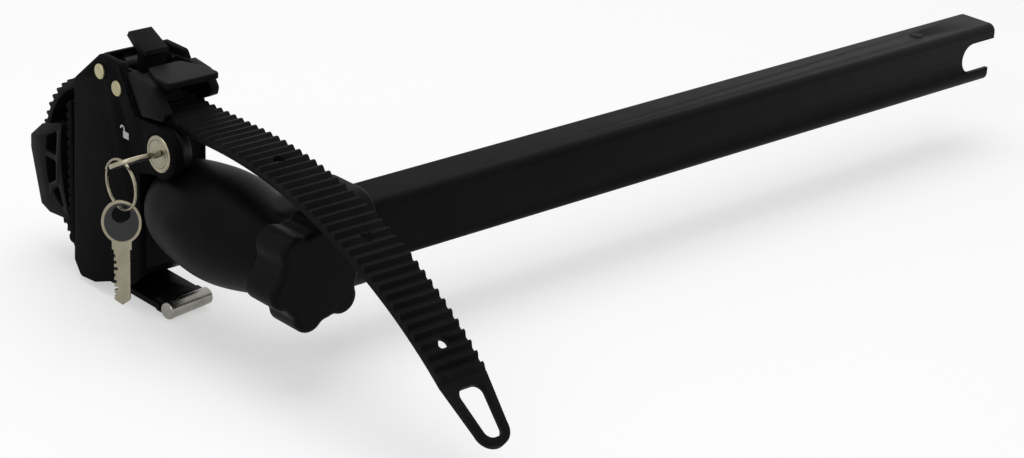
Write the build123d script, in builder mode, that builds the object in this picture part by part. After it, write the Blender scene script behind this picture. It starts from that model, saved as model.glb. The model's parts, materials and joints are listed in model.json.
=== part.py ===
"""Lockable holder arm: a ratchet strap head on a swivel, carried by a box-section arm with a forked end.

Frame: +X runs along the arm, from the head towards the fork; +Z is up.
The origin is the centre of the round root of the fork's notch, where the arm seats on a cross bar.
"""
import os
from math import cos, radians, sin, tan

from build123d import *

os.makedirs("parts", exist_ok=True)

# ---- arm tube and fork ----
TUBE_WIDTH = 25.0          # along Y
TUBE_HEIGHT = 30.0         # along Z
TUBE_CORNER = 4.0
TUBE_WALL = 2.0
NOTCH_RADIUS = 7.75
FORK_LENGTH = 16.5         # notch centre to the upper prongs' ends
PRONG_SETBACK = 2.5        # lower prongs end this much short of the upper ones
FLOOR_SETBACK = 26.0       # bottom wall ends this far from the fork's end
PLUG_RADIUS = 3.6
PLUG_X = -32.0
SOCKET_SCREW_RADIUS = 2.0

# ---- swivel housing ----
HEAD_X = -442.5            # swivel axis, parallel to Y at z = 0
SOCKET_REACH = 42.0        # swivel axis to the socket's rim
SOCKET_DEPTH = 24.0
SOCKET_WIDTH = TUBE_WIDTH + 15.0
SOCKET_HEIGHT = TUBE_HEIGHT + 14.0
SOCKET_CORNER = 12.0
SOCKET_FIT = 0.1
SCREW_SINK = 2.6
BULB_END_Y = 70.0
BULB_FRONT_Y = -12.9
BULB_PROFILE = [(16.7, BULB_FRONT_Y), (21.6, 8.0), (25.0, 29.0), (23.4, 50.0), (19.0, 65.5), (15.5, BULB_END_Y)]
BOLT_RADIUS = 4.0
RUNNING_FIT = 0.05
SPRING_BORE = BOLT_RADIUS + 3.0
SPRING_BORE_Y = (4.0, 58.0)

# ---- hand knob ----
KNOB_BACK_Y = -15.2
KNOB_DEPTH = 19.0
KNOB_LOBES = 6
KNOB_LOBE_RADIUS = 7.4
KNOB_OUTER = 25.0
KNOB_CORE = 20.5
KNOB_FIRST_LOBE = 13.0
INSERT_RADIUS = BOLT_RADIUS + 2.5
INSERT_LENGTH = 14.0
WASHER_RADIUS = 9.0
WASHER_THICK = 1.6

# ---- head frame ----
PLATE_THICK = 3.0
CORE_CLEAR = 0.3
HEAD_FRONT_Y = 70.8        # the core's face towards the swivel housing
CORE_BACK_Y = 116.5
PAD_RIB_PITCH = 4.5
PAD_RIB_RADIUS = 2.2
PAD_RIB_Y = 125.7
PAD_STRIP_Y = 123.9         # the ribbed strip starts here, just past the plates
PAD_LOW, PAD_HIGH = -36.0, 32.0
RING_INNER, RING_OUTER = 7.4, 12.6
RING_THICK = 1.8
RING_TEETH = 24

# ---- ratchet ----
LEVER_PIN = (99.3, 53.8)   # (y, z) of the pins through both side plates
PAWL_PIN = (86.4, 49.8)
PIN_RADIUS = 2.5
PIN_HEAD_RADIUS = PIN_RADIUS + 0.95
PIN_HEAD_THICK = 1.4
LEVER_ARM_THICK = 1.4
LEVER_GAP = 0.3
HUB_WALL = 1.5

# ---- strap ----
STRAP_WIDTH = 25.0
STRAP_BASE = 2.6
TOOTH_HEIGHT = 1.7
TOOTH_PITCH = 5.0
STRAP_TOP_Z = 40.5         # smooth face over the head
STRAP_LOW_Z = -45.5        # smooth face under the head
TONGUE_END_Y = 64.0
TAIL_TURN = 40.0           # degrees that the tail droops
TAIL_BEND = 225.0
TAIL_CORNER_Y = -60.0
TAIL_STRAIGHT = 82.6       # from that corner to the last tooth
TAIL_WIDTH = 22.4          # at the last tooth, narrowed from the full width
LOOP_LENGTH = 30.0
LOOP_THICK = 3.2
LOOP_TIP = 7.8             # half width where its round end starts
LOOP_HOLE_HALF = (7.0, 4.3)
LOOP_HOLE_CORNER = 3.9
STRAP_HOLE_RADIUS = 2.7
STRAP_HOLES_Y = (-5.0, -61.0, -110.0)
HOLD_TIP_Y = 79.5          # valley that the holding pawl stands in
DRIVE_TIP_Y = HOLD_TIP_Y + 3 * TOOTH_PITCH
SHOE_OUTLINE = [(135.5, 17.5), (151.7, 12.8), (161.6, 4.6), (161.8, -1.6), (154.2, -26.8), (147.3, -29.0),
                (130.0, -27.5)]
SHOE_HOLLOW = (136.6, -5.0)     # deepest point of its face towards the pad
SHOE_POCKETS = [
    [(148.4, 8.0), (139.5, 13.2), (141.0, 0.6), (149.5, 0.6)],
    [(150.0, -2.2), (141.2, -2.2), (141.5, -11.5), (147.8, -15.4)],
    [(141.0, -21.2), (144.5, -17.4), (139.4, -13.6), (134.6, -24.2)],
]
SHOE_CHEEK = 2.5           # shoe's reach past each edge of the strap
PIN_ANCHOR_RADIUS = 3.9
PIN_ANCHOR_TILT = 9.0

# ---- lock and keys ----
LOCK_Y, LOCK_Z = 53.3, 30.5
PLUG_LOCK_RADIUS = 6.2
BARREL_WALL = 2.1
BOSS_WALL = 3.1
BOSS_PROUD = 2.0
LOCK_PROUD = 2.6
KEY_TURN = 30.0            # slope of the key slot
KEY_THICK = 1.9
KEY_BLADE = 6.8
KEY_BOW = (10.0, 8.6)
KEY_HOLE_RADIUS = 4.0
KEY_HOLE_OFFSET = 3.5
KEY_RING_RADIUS = 11.0
KEY_RING_WIRE = 1.0

# ---- sizes that follow ----
PLATE_GAP = STRAP_WIDTH + 4 * LEVER_GAP + 2 * LEVER_ARM_THICK      # between the two side plates
SHOE_WIDTH = STRAP_WIDTH + 2 * SHOE_CHEEK
BARREL_RADIUS = PLUG_LOCK_RADIUS + BARREL_WALL
BOSS_RADIUS = BARREL_RADIUS + BOSS_WALL
SOCKET_RIM_X = HEAD_X + SOCKET_REACH
AXIS = Axis((HEAD_X, 0, 0), (0, 1, 0))
SOCKET_SCREW_X = SOCKET_RIM_X - SOCKET_DEPTH / 2
NEAR_FACE = HEAD_X - PLATE_GAP / 2 - PLATE_THICK
LOCK_FACE = NEAR_FACE - LOCK_PROUD


def across(dx):
    """Sketch plane facing +X at dx from the head's middle: local x is Y, local y is Z."""
    return Plane.YZ.offset(HEAD_X + dx)


def facing(y):
    """Sketch plane facing -Y at the given y, centred on the swivel axis."""
    return Plane.XZ.offset(-y).shift_origin((HEAD_X, y, 0))


def finish(builder, name):
    builder.part.label = name
    export_step(builder.part, f"parts/{name}.step")


# ======================= arm =======================
with BuildPart() as arm_tube:
    with BuildSketch(Plane.YZ.offset(SOCKET_RIM_X - SOCKET_DEPTH)):
        RectangleRounded(TUBE_WIDTH, TUBE_HEIGHT, TUBE_CORNER)
        RectangleRounded(
            TUBE_WIDTH - 2 * TUBE_WALL, TUBE_HEIGHT - 2 * TUBE_WALL, TUBE_CORNER - TUBE_WALL, mode=Mode.SUBTRACT
        )
    extrude(amount=FORK_LENGTH - (SOCKET_RIM_X - SOCKET_DEPTH))
    with BuildSketch(Plane.XZ):
        Circle(NOTCH_RADIUS)
        with Locations((FORK_LENGTH, 0)):
            Rectangle(2 * FORK_LENGTH, 2 * NOTCH_RADIUS)
    extrude(amount=TUBE_WIDTH, both=True, mode=Mode.SUBTRACT)
    # the bottom wall ends early and leaves a finger on each side wall
    with BuildSketch(Plane.XY.offset(-TUBE_HEIGHT / 2)):
        with Locations((FORK_LENGTH, 0)):
            Rectangle(2 * FLOOR_SETBACK, TUBE_WIDTH - 2 * TUBE_WALL)
    extrude(amount=TUBE_WALL + 1.0, mode=Mode.SUBTRACT)
    with BuildSketch(Plane.XZ):
        with Locations((FORK_LENGTH, -TUBE_HEIGHT / 2)):
            Rectangle(2 * PRONG_SETBACK, TUBE_HEIGHT)
    extrude(amount=TUBE_WIDTH, both=True, mode=Mode.SUBTRACT)
    with BuildSketch(Plane.XY.offset(TUBE_HEIGHT / 2)):
        with Locations((PLUG_X, 0)):
            Circle(PLUG_RADIUS)
    extrude(amount=-2 * TUBE_WALL, mode=Mode.SUBTRACT)
    with BuildSketch(Plane.XY.offset(-TUBE_HEIGHT / 2)):
        with Locations((SOCKET_SCREW_X, 0)):
            Circle(SOCKET_SCREW_RADIUS)
    extrude(amount=TUBE_WALL, mode=Mode.SUBTRACT)
finish(arm_tube, "arm_tube")

with BuildPart() as tube_plug:
    with BuildSketch(Plane.XY.offset(TUBE_HEIGHT / 2 - TUBE_WALL - 1.5)):
        with Locations((PLUG_X, 0)):
            Circle(PLUG_RADIUS)
    extrude(amount=TUBE_WALL + 1.8)
    chamfer(tube_plug.faces().sort_by(Axis.Z)[-1].edges(), 0.5)
finish(tube_plug, "tube_plug")

# ======================= swivel housing =======================
with BuildPart() as swivel_housing:
    with BuildSketch(Plane.XY):
        with BuildLine():
            Polyline((HEAD_X, BULB_END_Y), (HEAD_X, BULB_FRONT_Y), (HEAD_X + BULB_PROFILE[0][0], BULB_FRONT_Y))
            Spline([(HEAD_X + r, y) for r, y in BULB_PROFILE])
            Line((HEAD_X + BULB_PROFILE[-1][0], BULB_END_Y), (HEAD_X, BULB_END_Y))
        make_face()
    revolve(axis=AXIS)
    with BuildSketch(Plane.YZ.offset(HEAD_X)):
        RectangleRounded(SOCKET_WIDTH - 9, SOCKET_HEIGHT - 6, SOCKET_CORNER)
    with BuildSketch(Plane.YZ.offset(SOCKET_RIM_X - 12)):
        RectangleRounded(SOCKET_WIDTH, SOCKET_HEIGHT, SOCKET_CORNER)
    loft()
    with BuildSketch(Plane.YZ.offset(SOCKET_RIM_X - 12)):
        RectangleRounded(SOCKET_WIDTH, SOCKET_HEIGHT, SOCKET_CORNER)
    extrude(amount=12)
    fillet(swivel_housing.faces().sort_by(Axis.X)[-1].edges(), 2.5)
    # socket for the tube
    with BuildSketch(Plane.YZ.offset(SOCKET_RIM_X)):
        RectangleRounded(TUBE_WIDTH + 2 * SOCKET_FIT, TUBE_HEIGHT + 2 * SOCKET_FIT, TUBE_CORNER)
    extrude(amount=-SOCKET_DEPTH - SOCKET_FIT, mode=Mode.SUBTRACT)
    # room for the knob to turn
    with BuildSketch(facing(BULB_FRONT_Y)):
        Circle(KNOB_OUTER + 1.5)
    extrude(amount=20, mode=Mode.SUBTRACT)
    # bore for the clamp bolt, wider where the spring sits
    with BuildSketch(facing(BULB_END_Y + 1)):
        Circle(BOLT_RADIUS + RUNNING_FIT)
    extrude(amount=BULB_END_Y - BULB_FRONT_Y + 2, mode=Mode.SUBTRACT)
    with BuildSketch(facing(SPRING_BORE_Y[1])):
        Circle(SPRING_BORE)
    extrude(amount=SPRING_BORE_Y[1] - SPRING_BORE_Y[0], mode=Mode.SUBTRACT)
    # seat of the toothed ring
    with BuildSketch(facing(BULB_END_Y)):
        Circle(RING_OUTER)
        Circle(RING_INNER, mode=Mode.SUBTRACT)
    extrude(amount=RING_THICK, mode=Mode.SUBTRACT)
    # hole for the socket screw, from below
    with BuildSketch(Plane.XY.offset(-SOCKET_HEIGHT / 2)):
        with Locations((SOCKET_SCREW_X, 0)):
            Circle(SOCKET_SCREW_RADIUS + SOCKET_FIT)
    extrude(amount=SOCKET_HEIGHT / 2 - TUBE_HEIGHT / 2 + 1, mode=Mode.SUBTRACT)
    with BuildSketch(Plane.XY.offset(-SOCKET_HEIGHT / 2)):
        with Locations((SOCKET_SCREW_X, 0)):
            Circle(2 * SOCKET_SCREW_RADIUS + SOCKET_FIT)
    extrude(amount=SCREW_SINK, mode=Mode.SUBTRACT)
finish(swivel_housing, "swivel_housing")

with BuildPart() as socket_screw:
    with BuildSketch(Plane.XY.offset(-SOCKET_HEIGHT / 2 + SCREW_SINK)):
        with Locations((SOCKET_SCREW_X, 0)):
            Circle(2 * SOCKET_SCREW_RADIUS)
    extrude(amount=-2.2)
    with BuildSketch(Plane.XY.offset(-SOCKET_HEIGHT / 2 + SCREW_SINK)):
        with Locations((SOCKET_SCREW_X, 0)):
            Circle(SOCKET_SCREW_RADIUS)
    extrude(amount=SOCKET_HEIGHT / 2 - TUBE_HEIGHT / 2 + TUBE_WALL)
    with BuildSketch(Plane.XY.offset(-SOCKET_HEIGHT / 2 + SCREW_SINK - 2.2)):
        with Locations((SOCKET_SCREW_X, 0)):
            RegularPolygon(1.5, 6)
    extrude(amount=1.4, mode=Mode.SUBTRACT)
finish(socket_screw, "socket_screw")


def toothed_ring(y_face, y_far):
    """A flat ring whose face at y_face has radial teeth; the ring reaches to y_far."""
    depth = y_far - y_face
    with BuildPart() as ring:
        with BuildSketch(facing(y_far)):
            Circle(RING_OUTER)
            Circle(RING_INNER, mode=Mode.SUBTRACT)
        extrude(amount=depth)
        with BuildSketch(facing(y_face)):
            with PolarLocations((RING_INNER + RING_OUTER) / 2, RING_TEETH):
                Rectangle(2 * (RING_OUTER - RING_INNER), 1.1)
        extrude(amount=-depth / 3, mode=Mode.SUBTRACT)
    return ring


RING_GAP = 0.4             # the rings stand this far apart while the knob is slack
arm_ring = toothed_ring(BULB_END_Y, BULB_END_Y - RING_THICK)
finish(arm_ring, "arm_detent_ring")

with BuildPart() as knob_washer:
    with BuildSketch(facing(BULB_FRONT_Y - 0.1)):
        Circle(WASHER_RADIUS)
        Circle(BOLT_RADIUS + RUNNING_FIT, mode=Mode.SUBTRACT)
    extrude(amount=WASHER_THICK)
finish(knob_washer, "knob_washer")

SPRING_WIRE = 0.7
SPRING_TURNS = 6
SPRING_RADIUS = (SPRING_BORE + BOLT_RADIUS) / 2
SPRING_LENGTH = SPRING_BORE_Y[1] - SPRING_BORE_Y[0] - 2 * SPRING_WIRE - 0.2
with BuildPart() as release_spring:
    with BuildLine() as spring_line:
        Helix(
            SPRING_LENGTH / SPRING_TURNS, SPRING_LENGTH, SPRING_RADIUS,
            center=(HEAD_X, SPRING_BORE_Y[0] + SPRING_WIRE + 0.1, 0), direction=(0, 1, 0)
        )
    with BuildSketch(Plane(origin=spring_line.line @ 0, z_dir=spring_line.line % 0)):
        Circle(SPRING_WIRE)
    sweep(is_frenet=True)
finish(release_spring, "release_spring")

# ======================= hand knob =======================
with BuildPart() as knob:
    with BuildSketch(facing(KNOB_BACK_Y)) as knob_outline:
        Circle(KNOB_CORE)
        with PolarLocations(KNOB_OUTER - KNOB_LOBE_RADIUS, KNOB_LOBES, start_angle=KNOB_FIRST_LOBE):
            Circle(KNOB_LOBE_RADIUS)
        fillet(knob_outline.vertices(), 4.0)
    extrude(amount=KNOB_DEPTH)
    fillet(knob.faces().sort_by(Axis.Y)[0].edges(), 2.2)
    # hollow back, leaving a rim and a hub
    with BuildSketch(facing(KNOB_BACK_Y)):
        Circle(KNOB_CORE - 2.5)
        Circle(INSERT_RADIUS + 3.5, mode=Mode.SUBTRACT)
    extrude(amount=KNOB_DEPTH - 6.0, mode=Mode.SUBTRACT)
    with BuildSketch(facing(KNOB_BACK_Y)):
        Circle(INSERT_RADIUS)
    extrude(amount=INSERT_LENGTH, mode=Mode.SUBTRACT)
finish(knob, "hand_knob")

with BuildPart() as knob_insert:
    with BuildSketch(facing(KNOB_BACK_Y)):
        Circle(INSERT_RADIUS)
        Circle(BOLT_RADIUS + RUNNING_FIT, mode=Mode.SUBTRACT)
    extrude(amount=INSERT_LENGTH)
finish(knob_insert, "knob_insert")

# ======================= strap =======================
with BuildLine() as strap_line:
    tail_drop = radians(TAIL_TURN)
    tail_end = (
        TAIL_CORNER_Y - TAIL_STRAIGHT * cos(tail_drop),
        STRAP_TOP_Z - TAIL_STRAIGHT * sin(tail_drop),
    )
    route = [(TONGUE_END_Y, STRAP_LOW_Z), (125.5, STRAP_LOW_Z), (134.0, -31.0), (155.6, -14.0), (155.6, -2.0),
             (141.0, STRAP_TOP_Z - 8.0), (116.0, STRAP_TOP_Z), (TAIL_CORNER_Y, STRAP_TOP_Z), tail_end]
    FilletPolyline(*route, radius=[10.0, 22.0, 12.0, 20.0, 36.0, 60.0, TAIL_BEND])
strap_wire = strap_line.wires()[0]
STRAP_LENGTH = strap_wire.length


def strap_at(distance, height):
    """Point (y, z) at a distance along the strap and a height outwards from its smooth face."""
    here = strap_wire.position_at(distance / STRAP_LENGTH)
    along = strap_wire.tangent_at(distance / STRAP_LENGTH)
    return (here.X + height * along.Y, here.Y - height * along.X)


def strap_distance(y):
    """Distance along the strap of the point at the given y, over the head or on the tail, by halving."""
    low, high = STRAP_LENGTH / 3, STRAP_LENGTH
    for _ in range(40):
        middle = (low + high) / 2
        if strap_at(middle, 0)[0] > y:
            low = middle
        else:
            high = middle
    return low


def strip(start, end, low, high, step=2.5):
    """Outline of a band along the strap between two heights."""
    count = max(2, round((end - start) / step))
    marks = [start + (end - start) * i / count for i in range(count + 1)]
    return [strap_at(s, low) for s in marks] + [strap_at(s, high) for s in reversed(marks)]


print(f"strap {STRAP_LENGTH + LOOP_LENGTH:.0f} mm long with its pull loop")

HOLD_VALLEY = strap_distance(HOLD_TIP_Y)
FIRST_TOOTH = HOLD_VALLEY - 0.9 - TOOTH_PITCH * int((HOLD_VALLEY - 70.0) / TOOTH_PITCH)
TOOTH_COUNT = int((STRAP_LENGTH - FIRST_TOOTH) / TOOTH_PITCH)


def toothed_edge():
    """Outer edge of the strap from its end back to the first tooth: a flat, a steep face, a land and a slope."""
    marks = []
    for tooth in range(TOOTH_COUNT):
        start = FIRST_TOOTH + tooth * TOOTH_PITCH
        for along, rise in ((0.0, 0.0), (1.8, 0.0), (2.1, 1.0), (3.2, 1.0)):
            marks.append(strap_at(start + along, STRAP_BASE + rise * TOOTH_HEIGHT))
    return list(reversed(marks))


TAIL_FRAME = Plane(
    origin=(HEAD_X, *tail_end), x_dir=(1, 0, 0), z_dir=(0, -sin(tail_drop), cos(tail_drop))
)
ANCHOR_FRAME = Plane(
    origin=(HEAD_X, TONGUE_END_Y - PIN_ANCHOR_RADIUS + 0.7, STRAP_LOW_Z - STRAP_BASE / 2), x_dir=(0, 0, 1),
    z_dir=(cos(radians(PIN_ANCHOR_TILT)), sin(radians(PIN_ANCHOR_TILT)), 0)
)
with BuildPart() as toothed_strap:
    with BuildSketch(across(0)):
        with BuildLine():
            smooth_side = [strap_at(STRAP_LENGTH * i / 180, 0) for i in range(181)]
            plain_side = [strap_at(FIRST_TOOTH * i / 20, STRAP_BASE) for i in range(19, -1, -1)]
            Polyline(*smooth_side, strap_at(STRAP_LENGTH, STRAP_BASE), *toothed_edge(), *plain_side, close=True)
        make_face()
    extrude(amount=STRAP_WIDTH / 2, both=True)
    # holes through the tail
    for hole_y in STRAP_HOLES_Y:
        where = strap_distance(hole_y)
        spot, past = Vector(*strap_at(where, -3)), Vector(*strap_at(where, 8))
        with BuildSketch(Plane(origin=(HEAD_X, spot.X, spot.Y), z_dir=(0, past.X - spot.X, past.Y - spot.Y))):
            Circle(STRAP_HOLE_RADIUS)
        extrude(amount=12, mode=Mode.SUBTRACT)
    # the tail narrows on both sides
    for side in (-1, 1):
        with BuildSketch(Plane.XY.offset(-STRAP_WIDTH)):
            with BuildLine():
                Polyline(
                    (HEAD_X + side * STRAP_WIDTH / 2, TAIL_CORNER_Y), (HEAD_X + side * TAIL_WIDTH / 2, tail_end[0]),
                    (HEAD_X + side * TAIL_WIDTH / 2, tail_end[0] - STRAP_WIDTH),
                    (HEAD_X + side * STRAP_WIDTH, tail_end[0] - STRAP_WIDTH),
                    (HEAD_X + side * STRAP_WIDTH, TAIL_CORNER_Y), close=True
                )
            make_face()
        extrude(amount=3 * STRAP_WIDTH, mode=Mode.SUBTRACT)
    # tapered pull loop with a long hole
    loop_turn = -LOOP_LENGTH + LOOP_TIP
    with BuildSketch(TAIL_FRAME):
        with BuildLine():
            Polyline((TAIL_WIDTH / 2, 0.5), (-TAIL_WIDTH / 2, 0.5), (-LOOP_TIP, loop_turn))
            ThreePointArc((-LOOP_TIP, loop_turn), (0, -LOOP_LENGTH), (LOOP_TIP, loop_turn))
            Line((LOOP_TIP, loop_turn), (TAIL_WIDTH / 2, 0.5))
        make_face()
    extrude(amount=LOOP_THICK)
    with BuildSketch(TAIL_FRAME) as loop_hole:
        with BuildLine():
            wide, slim = LOOP_HOLE_HALF
            Polyline((wide, -3.0), (-wide, -3.0), (-slim, -LOOP_LENGTH + 3.9), (slim, -LOOP_LENGTH + 3.9), close=True)
        make_face()
        fillet(loop_hole.vertices(), LOOP_HOLE_CORNER)
    extrude(amount=LOOP_THICK, mode=Mode.SUBTRACT)
    # cradle for the anchor pin behind the tongue's end
    with BuildSketch(across(0)):
        with Locations((TONGUE_END_Y + 2.0, STRAP_LOW_Z - STRAP_BASE / 2)):
            RectangleRounded(6.0, 6.4, 1.0)
    extrude(amount=STRAP_WIDTH / 2 - 1.5, both=True)
    with BuildSketch(ANCHOR_FRAME):
        Circle(PIN_ANCHOR_RADIUS)
    extrude(amount=STRAP_WIDTH, both=True, mode=Mode.SUBTRACT)
finish(toothed_strap, "toothed_strap")

with BuildPart() as anchor_pin:
    with BuildSketch(ANCHOR_FRAME):
        Circle(PIN_ANCHOR_RADIUS)
    extrude(amount=STRAP_WIDTH / 2, both=True)
    chamfer(anchor_pin.edges().filter_by(GeomType.CIRCLE), 0.6)
finish(anchor_pin, "anchor_pin")

# ======================= pressure shoe on the strap =======================
with BuildPart() as pressure_shoe:
    with BuildSketch(across(0)) as shoe_side:
        with BuildLine():
            Polyline(*SHOE_OUTLINE)
            ThreePointArc(SHOE_OUTLINE[-1], SHOE_HOLLOW, SHOE_OUTLINE[0])
        make_face()
        fillet(shoe_side.vertices(), 1.2)
    extrude(amount=SHOE_WIDTH / 2, both=True)
    # way for the strap
    shoe_span = (strap_distance(118.0) - 120.0, strap_distance(118.0) + 4.0)
    with BuildSketch(across(0)):
        with BuildLine():
            Polyline(*strip(*shoe_span, -0.3, STRAP_BASE + TOOTH_HEIGHT + 0.3), close=True)
        make_face()
    extrude(amount=STRAP_WIDTH / 2 + 0.3, both=True, mode=Mode.SUBTRACT)
    # three pockets in each side, with ribs between them and a middle web
    for side in (-1, 1):
        with BuildSketch(across(side * SHOE_WIDTH / 2)) as pockets:
            for corners in SHOE_POCKETS:
                with BuildLine():
                    Polyline(*corners, close=True)
                make_face()
            fillet(pockets.vertices(), 1.0)
        extrude(amount=-side * (SHOE_WIDTH / 2 - 2.0), mode=Mode.SUBTRACT)
finish(pressure_shoe, "pressure_shoe")

# ======================= head frame =======================
PLATE_OUTLINE = [
    (120.5, 44.5), (100.0, 61.5), (84.0, 61.5), (71.0, 40.8), (71.0, -33.0), (79.0, -40.0), (92.0, -43.0),
    (107.0, -48.8), (118.5, -49.8), (123.5, -43.5),
]


def side_plate(dx):
    """One side plate; its inner face is at dx and it grows away from the head's middle."""
    with BuildPart() as plate:
        with BuildSketch(across(dx)) as outline:
            with BuildLine():
                Polyline(*PLATE_OUTLINE, close=True)
            make_face()
            fillet(outline.vertices(), 2.5)
            with Locations(LEVER_PIN, PAWL_PIN):
                Circle(PIN_RADIUS, mode=Mode.SUBTRACT)
        extrude(amount=PLATE_THICK if dx > 0 else -PLATE_THICK)
    return plate


near_base = side_plate(-PLATE_GAP / 2)
far_base = side_plate(PLATE_GAP / 2)
SCREW_SPOTS = [(78.0, 26.0), (112.0, 26.0), (112.0, -34.0), (78.0, -30.0)]
SCREW_RADIUS = 1.5

with BuildPart() as near_plate:
    add(near_base.part)
    # boss for the lock, raised on the outside, and the neck that joins it to the plate
    with BuildSketch(across(-PLATE_GAP / 2)):
        with Locations((LOCK_Y, LOCK_Z)):
            Circle(BOSS_RADIUS)
        with BuildLine():
            Polyline((74.0, 40.6), (LOCK_Y + 2, LOCK_Z + BOSS_RADIUS - 0.3), (LOCK_Y + 2, LOCK_Z - BOSS_RADIUS + 0.3),
                     (74.0, 15.0), close=True)
        make_face()
    extrude(amount=-PLATE_THICK)
    with BuildSketch(across(-PLATE_GAP / 2 - PLATE_THICK)):
        with Locations((LOCK_Y, LOCK_Z)):
            Circle(BOSS_RADIUS)
    extrude(amount=-BOSS_PROUD)
    chamfer(near_plate.faces().sort_by(Axis.X)[0].edges(), 0.8)
    with BuildSketch(across(-PLATE_GAP / 2)):
        with Locations((LOCK_Y, LOCK_Z)):
            Circle(BARREL_RADIUS)
    extrude(amount=-PLATE_THICK - BOSS_PROUD, mode=Mode.SUBTRACT)
    # raised rib along the slanted edge
    with BuildSketch(across(-PLATE_GAP / 2 - PLATE_THICK)):
        with BuildLine():
            Polyline((84.6, 60.2), (87.0, 60.2), (74.6, 41.0), (72.2, 41.0), close=True)
        make_face()
    extrude(amount=-0.9)
finish(near_plate, "near_side_plate")

with BuildPart() as far_plate:
    add(far_base.part)
    with BuildSketch(across(PLATE_GAP / 2)):
        with Locations(*SCREW_SPOTS):
            Circle(SCREW_RADIUS + 0.1)
    extrude(amount=PLATE_THICK, mode=Mode.SUBTRACT)
finish(far_plate, "far_side_plate")

CORE_HALF = PLATE_GAP / 2 - 0.1
BOLT_HEAD_Y = 92.0
BOLT_HEAD_RADIUS = BOLT_RADIUS + 5.0
BOLT_HEAD_THICK = 4.5
BOLT_SQUARE = 2 * BOLT_RADIUS
with BuildPart() as head_core:
    with BuildSketch(across(0)) as core_side:
        with BuildLine():
            Polyline((HEAD_FRONT_Y, STRAP_TOP_Z - 1.5), (113.0, STRAP_TOP_Z - 1.5), (CORE_BACK_Y, 36.0),
                     (CORE_BACK_Y, STRAP_LOW_Z + 4),
                     (113.0, STRAP_LOW_Z + CORE_CLEAR), (92.0, STRAP_LOW_Z + CORE_CLEAR + 3),
                     (80.0, -38.0), (HEAD_FRONT_Y, -30.0), close=True)
        make_face()
    extrude(amount=CORE_HALF, both=True)
    # pockets from both sides, leaving ribs and a middle web
    for side in (-1, 1):
        with BuildSketch(across(side * CORE_HALF)):
            with Locations((92.0, 26.0), (103.0, -25.0), (86.0, -25.0)):
                RectangleRounded(11.0, 14.0, 2.0)
        extrude(amount=-side * (CORE_HALF - 2.0), mode=Mode.SUBTRACT)
    with BuildSketch(facing(CORE_BACK_Y + 1)):
        Circle(BOLT_HEAD_RADIUS + 0.3)
    extrude(amount=CORE_BACK_Y + 1 - BOLT_HEAD_Y, mode=Mode.SUBTRACT)
    with BuildSketch(facing(BOLT_HEAD_Y)):
        Rectangle(BOLT_SQUARE + 0.1, BOLT_SQUARE + 0.1)
    extrude(amount=5.0, mode=Mode.SUBTRACT)
    with BuildSketch(facing(BOLT_HEAD_Y)):
        Circle(BOLT_RADIUS + RUNNING_FIT)
    extrude(amount=BOLT_HEAD_Y - HEAD_FRONT_Y + 1, mode=Mode.SUBTRACT)
    with BuildSketch(facing(HEAD_FRONT_Y + RING_THICK - (HEAD_FRONT_Y - BULB_END_Y - RING_GAP))):
        Circle(RING_OUTER)
        Circle(RING_INNER, mode=Mode.SUBTRACT)
    extrude(amount=2 * RING_THICK, mode=Mode.SUBTRACT)
    with BuildSketch(across(CORE_HALF)):
        with Locations(*SCREW_SPOTS):
            Circle(SCREW_RADIUS)
    extrude(amount=-10.0, mode=Mode.SUBTRACT)
finish(head_core, "head_core")

head_ring = toothed_ring(BULB_END_Y + RING_GAP, BULB_END_Y + RING_GAP + RING_THICK)
finish(head_ring, "head_detent_ring")

with BuildPart() as clamp_bolt:
    with BuildSketch(facing(BOLT_HEAD_Y + BOLT_HEAD_THICK)):
        Circle(BOLT_HEAD_RADIUS)
    extrude(amount=BOLT_HEAD_THICK)
    fillet(clamp_bolt.faces().sort_by(Axis.Y)[-1].edges(), 2.5)
    with BuildSketch(facing(BOLT_HEAD_Y)):
        Rectangle(BOLT_SQUARE, BOLT_SQUARE)
    extrude(amount=4.0)
    with BuildSketch(facing(BOLT_HEAD_Y)):
        Circle(BOLT_RADIUS)
    extrude(amount=BOLT_HEAD_Y - (KNOB_BACK_Y - INSERT_LENGTH + 0.5))
    chamfer(clamp_bolt.faces().sort_by(Axis.Y)[0].edges(), 0.6)
finish(clamp_bolt, "clamp_bolt")

with BuildPart() as frame_screws:
    with BuildSketch(across(PLATE_GAP / 2 + PLATE_THICK)):
        with Locations(*SCREW_SPOTS):
            Circle(2 * SCREW_RADIUS)
    extrude(amount=1.6)
    with BuildSketch(across(PLATE_GAP / 2 + PLATE_THICK)):
        with Locations(*SCREW_SPOTS):
            Circle(SCREW_RADIUS)
    extrude(amount=-PLATE_THICK - 9.0)
    with BuildSketch(across(PLATE_GAP / 2 + PLATE_THICK + 1.6)):
        with Locations(*SCREW_SPOTS):
            Rectangle(0.7, 3.6)
            Rectangle(3.6, 0.7)
    extrude(amount=-1.0, mode=Mode.SUBTRACT)
finish(frame_screws, "frame_screws")

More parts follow.
